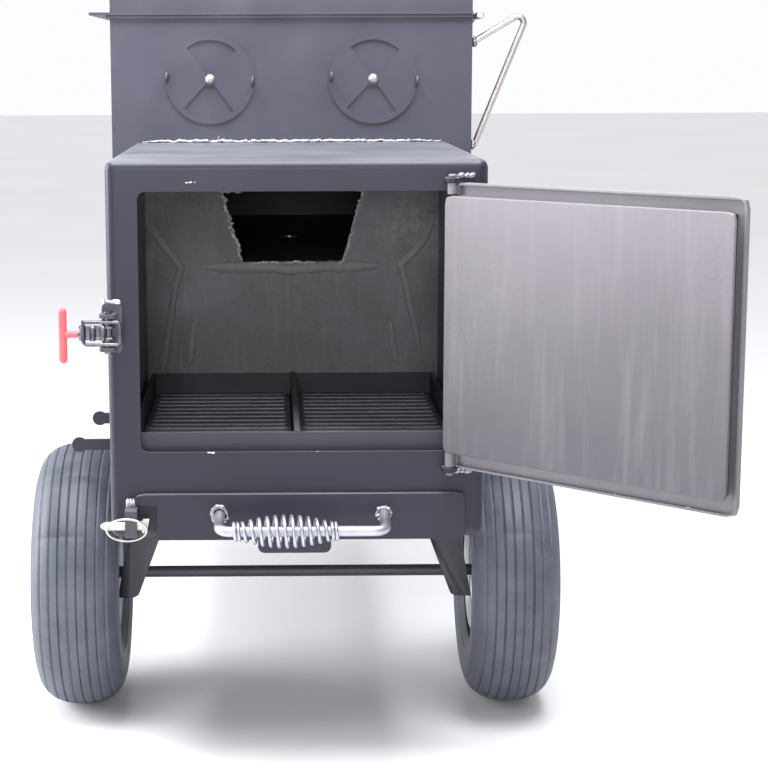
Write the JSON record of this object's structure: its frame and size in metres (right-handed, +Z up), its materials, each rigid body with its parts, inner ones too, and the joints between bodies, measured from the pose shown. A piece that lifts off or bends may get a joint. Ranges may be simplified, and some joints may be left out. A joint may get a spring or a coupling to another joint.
{
  "type": "offset smoker",
  "caption": "Offset charcoal smoker with insulated firebox, octagonal cooking chamber, hinged lid, ash drawer, dampers and pneumatic wheels.",
  "frame": {"origin": "middle of the footprint on the ground", "axes": "+Z up; +Y from the firebox front to the chimney end; +X to the hinge side of the door and lid"},
  "size_m": [0.8272, 1.8412, 1.508],
  "materials": {
    "body_paint": "satin charcoal stove paint",
    "bare_steel": "rough mill-finish steel, heat-stained",
    "mineral_wool": "matt fibre",
    "cast_grate": "rough cast",
    "nickel_handle": "satin nickel",
    "zinc_hardware": "bright zinc plate",
    "grate_steel": "satin stainless",
    "red_vinyl": "dipped vinyl",
    "tyre_rubber": "matt moulded rubber",
    "rim_paint": "silver wheel enamel"
  },
  "bodies": {
    "frame": {"firebox_shell": "body_paint", "firebox_liner": "bare_steel", "firebox_insulation": "mineral_wool", "firebox_back_plate": "bare_steel", "hinge_tab_upper": "body_paint", "hinge_tab_lower": "body_paint", "hinge_pin_upper": "zinc_hardware", "hinge_pin_lower": "zinc_hardware", "lynch_tab": "body_paint", "latch_bracket": "body_paint", "latch_pivot_pin": "zinc_hardware", "side_damper_bolt": "zinc_hardware", "end_damper_bolt_left": "zinc_hardware", "end_damper_bolt_right": "zinc_hardware", "chamber_tub": "body_paint", "lid_hinge_rod": "zinc_hardware", "lid_stop_rod": "body_paint", "chimney_elbow": "body_paint", "chimney_pipe": "body_paint", "drain_valve_body": "zinc_hardware", "axle": "body_paint", "axle_bracket_left": "body_paint", "axle_bracket_right": "body_paint", "axle_nut_left": "zinc_hardware", "axle_nut_right": "zinc_hardware", "far_leg_left": "body_paint", "far_leg_right": "body_paint", "bottom_shelf": "body_paint", "tow_handle": "body_paint"},
    "firebox_door": {"door_pan": "body_paint", "door_liner": "body_paint", "door_keeper": "body_paint"},
    "ash_drawer": {"drawer_box": "bare_steel", "drawer_front": "body_paint", "drawer_tab": "body_paint", "drawer_handle_rod": "nickel_handle", "drawer_handle_spring": "nickel_handle"},
    "drawer_pin": {"lynch_pin": "zinc_hardware"},
    "drawer_pin_ring": {"lynch_ring": "zinc_hardware"},
    "latch_arm": {"latch_lever": "zinc_hardware", "latch_grip": "red_vinyl"},
    "latch_hook": {"latch_bail": "zinc_hardware"},
    "side_damper": {"side_damper_disc": "body_paint"},
    "end_damper_left": {"end_damper_disc_left": "body_paint"},
    "end_damper_right": {"end_damper_disc_right": "body_paint"},
    "lid": {"lid_shell": "body_paint", "lid_handle_rod": "nickel_handle", "lid_handle_spring": "nickel_handle", "thermometer": "zinc_hardware"},
    "flue_cap": {"chimney_cap": "body_paint"},
    "grate_near": {"cooking_grate_near": "grate_steel"},
    "grate_far": {"cooking_grate_far": "grate_steel"},
    "fire_grate": {"fire_grate_frame": "cast_grate"},
    "fire_bars_left": {"fire_grate_panel_left": "cast_grate"},
    "fire_bars_right": {"fire_grate_panel_right": "cast_grate"},
    "wheel_left": {"tyre_left": "tyre_rubber", "rim_left": "rim_paint"},
    "wheel_right": {"tyre_right": "tyre_rubber", "rim_right": "rim_paint"},
    "drain_arm": {"drain_valve_lever": "red_vinyl"}
  },
  "joints": [
    {"name": "door_swing", "type": "hinge", "parent": "frame", "child": "firebox_door", "pos_m": [0.12698, -0.64154, 0.583], "axis": [0, 0, 1], "range_deg": [-135.5, 40]},
    {"name": "drawer_slide", "type": "slide", "parent": "frame", "child": "ash_drawer", "axis": [0, -1, 0], "range_m": [0, 0.38]},
    {"name": "drawer_pin_slide", "type": "slide", "parent": "frame", "child": "drawer_pin", "axis": [1, 0, 0], "range_m": [0, 0.006]},
    {"name": "drawer_pin_ring_swing", "type": "hinge", "parent": "drawer_pin", "child": "drawer_pin_ring", "pos_m": [-0.24042, -0.65324, 0.338], "axis": [0, 0, 1], "range_deg": [0, 85]},
    {"name": "latch_arm_swing", "type": "hinge", "parent": "frame", "child": "latch_arm", "pos_m": [-0.28302, -0.64244, 0.578], "axis": [0, 0, 1], "range_deg": [0, 150]},
    {"name": "latch_hook_swing", "type": "hinge", "parent": "latch_arm", "child": "latch_hook", "pos_m": [-0.31202, -0.64994, 0.578], "axis": [0, 0, 1], "range_deg": [-150, 0]},
    {"name": "side_damper_turn", "type": "hinge", "parent": "frame", "child": "side_damper", "pos_m": [-0.28702, -0.49644, 0.43], "axis": [1, 0, 0], "range_deg": [-90, 90]},
    {"name": "end_damper_left_turn", "type": "hinge", "parent": "frame", "child": "end_damper_left", "pos_m": [-0.17302, -0.15544, 0.8716], "axis": [0, 1, 0], "range_deg": [-90, 90]},
    {"name": "end_damper_right_turn", "type": "hinge", "parent": "frame", "child": "end_damper_right", "pos_m": [0.05898, -0.15544, 0.8716], "axis": [0, 1, 0], "range_deg": [-90, 90]},
    {"name": "lid_swing", "type": "hinge", "parent": "frame", "child": "lid", "pos_m": [0.21048, 0.30356, 0.9595], "axis": [0, 1, 0], "range_deg": [0, 88]},
    {"name": "flue_cap_turn", "type": "hinge", "parent": "frame", "child": "flue_cap", "pos_m": [-0.00002, 0.82556, 1.5], "axis": [0, 0, 1], "range_deg": [0, 110]},
    {"name": "grate_near_lift", "type": "slide", "parent": "frame", "child": "grate_near", "axis": [0, 0, 1], "range_m": [0, 0.1]},
    {"name": "grate_far_lift", "type": "slide", "parent": "frame", "child": "grate_far", "axis": [0, 0, 1], "range_m": [0, 0.1]},
    {"name": "fire_grate_lift", "type": "slide", "parent": "frame", "child": "fire_grate", "axis": [0, 0, 1], "range_m": [0, 0.15]},
    {"name": "fire_bars_left_lift", "type": "slide", "parent": "fire_grate", "child": "fire_bars_left", "axis": [0, 0, 1], "range_m": [0, 0.1]},
    {"name": "fire_bars_right_lift", "type": "slide", "parent": "fire_grate", "child": "fire_bars_right", "axis": [0, 0, 1], "range_m": [0, 0.1]},
    {"name": "wheel_left_spin", "type": "hinge", "parent": "frame", "child": "wheel_left", "pos_m": [-0.35442, -0.27914, 0.184], "axis": [1, 0, 0], "continuous": true},
    {"name": "wheel_right_spin", "type": "hinge", "parent": "frame", "child": "wheel_right", "pos_m": [0.24038, -0.27914, 0.184], "axis": [1, 0, 0], "continuous": true},
    {"name": "drain_arm_turn", "type": "hinge", "parent": "frame", "child": "drain_arm", "pos_m": [-0.09802, 0.30156, 0.54], "axis": [1, 0, 0], "range_deg": [-90, 0]}
  ],
  "couplings": [
    {"joint": "latch_hook_swing", "follows": "latch_arm_swing", "ratio": -1}
  ]
}
